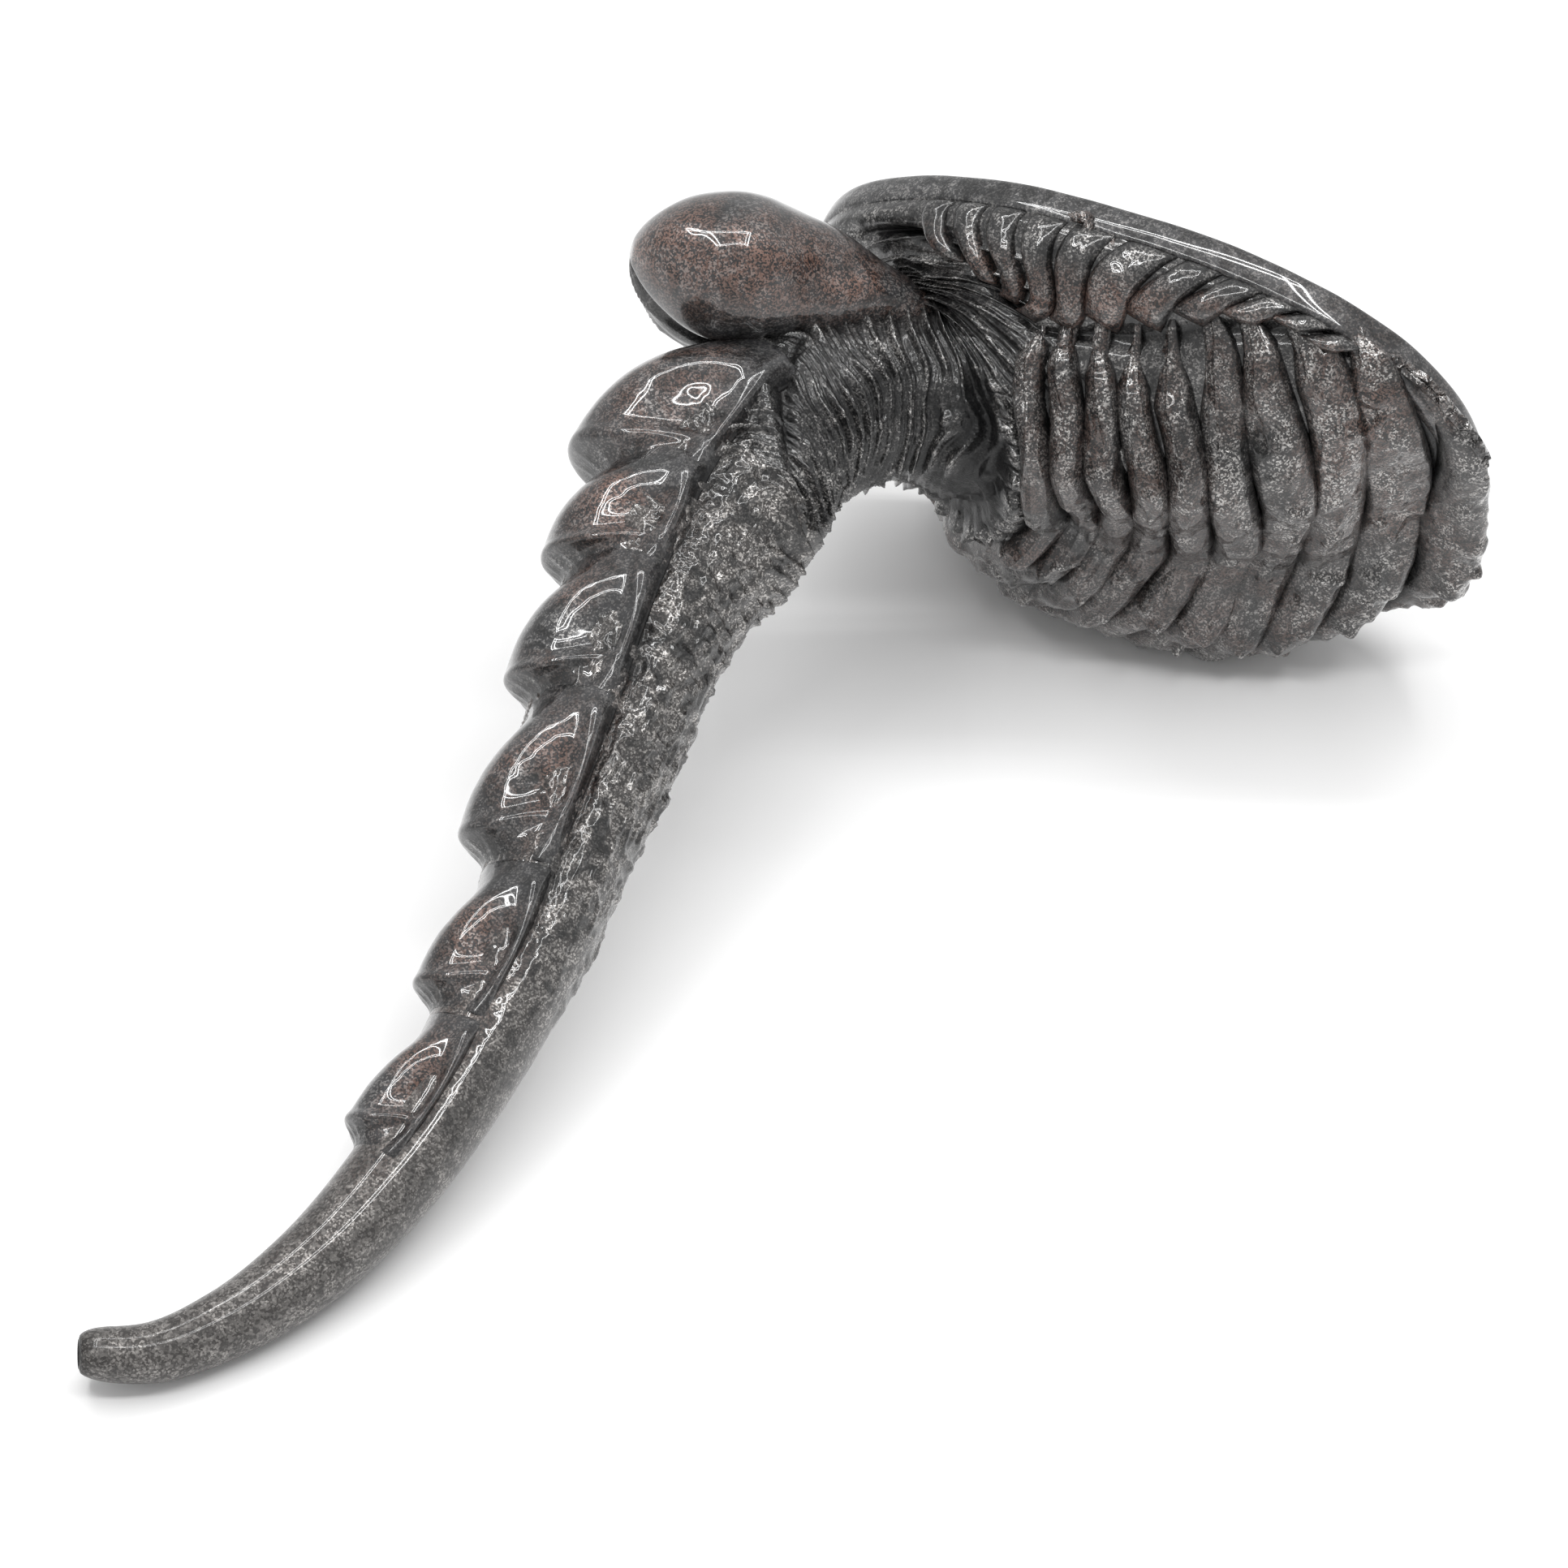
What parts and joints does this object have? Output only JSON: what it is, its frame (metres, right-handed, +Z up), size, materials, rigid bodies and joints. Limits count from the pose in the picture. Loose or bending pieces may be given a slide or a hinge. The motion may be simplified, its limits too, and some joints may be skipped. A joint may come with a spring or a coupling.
{
  "type": "shofar",
  "caption": "Dark sculpted ram's-horn shofar: wide ribbed bell on a bent neck, long tapering tail with a crest of curling scutes, and a small blow hole at the tip.",
  "frame": {"origin": "centre of the object's bounding box at the level it stands on", "axes": "+Z up; the mouth of the bell faces +Y and a little +X; the tip of the tail points to -X at the -Y end"},
  "size_m": [0.2436, 0.2342, 0.0989],
  "materials": {
    "rim_lacquer": "clear-coated dark gunmetal, smooth",
    "bell_lacquer": "clear-coated black with silver speckle",
    "rib_lacquer": "clear-coated gunmetal with silver speckle and a little copper",
    "copper_lacquer": "clear-coated copper brown speckle over black",
    "scute_lacquer": "clear-coated gunmetal lips with copper speckled bowls",
    "tail_satin": "satin warm grey speckle"
  },
  "bodies": {
    "root": {"bell_rim": "rim_lacquer", "bell_shell": "bell_lacquer", "neck": "bell_lacquer", "tail_shaft": "tail_satin", "mouthpiece_tip": "tail_satin", "crown_knob": "copper_lacquer", "belly_rib_1": "rib_lacquer", "belly_rib_2": "rib_lacquer", "belly_rib_3": "rib_lacquer", "belly_rib_4": "rib_lacquer", "belly_rib_5": "rib_lacquer", "belly_rib_6": "rib_lacquer", "belly_rib_7": "rib_lacquer", "belly_rib_8": "rib_lacquer", "shoulder_pod_near_1": "copper_lacquer", "shoulder_pod_off_1": "copper_lacquer", "shoulder_pod_near_2": "copper_lacquer", "shoulder_pod_off_2": "copper_lacquer", "shoulder_pod_near_3": "copper_lacquer", "shoulder_pod_off_3": "copper_lacquer", "shoulder_pod_near_4": "copper_lacquer", "shoulder_pod_off_4": "copper_lacquer", "shoulder_pod_near_5": "copper_lacquer", "shoulder_pod_off_5": "copper_lacquer", "shoulder_pod_near_6": "copper_lacquer", "shoulder_pod_off_6": "copper_lacquer", "shoulder_pod_near_7": "copper_lacquer", "shoulder_pod_off_7": "copper_lacquer", "shoulder_pod_near_8": "copper_lacquer", "shoulder_pod_off_8": "copper_lacquer", "shoulder_pod_near_9": "copper_lacquer", "shoulder_pod_off_9": "copper_lacquer", "shoulder_pod_near_10": "copper_lacquer", "shoulder_pod_off_10": "copper_lacquer", "shoulder_pod_near_11": "copper_lacquer", "shoulder_pod_off_11": "copper_lacquer", "crest_scute_one": "scute_lacquer", "crest_scute_two": "scute_lacquer", "crest_scute_three": "scute_lacquer", "crest_scute_four": "scute_lacquer", "crest_scute_five": "scute_lacquer", "crest_scute_six": "scute_lacquer"}
  },
  "joints": []
}
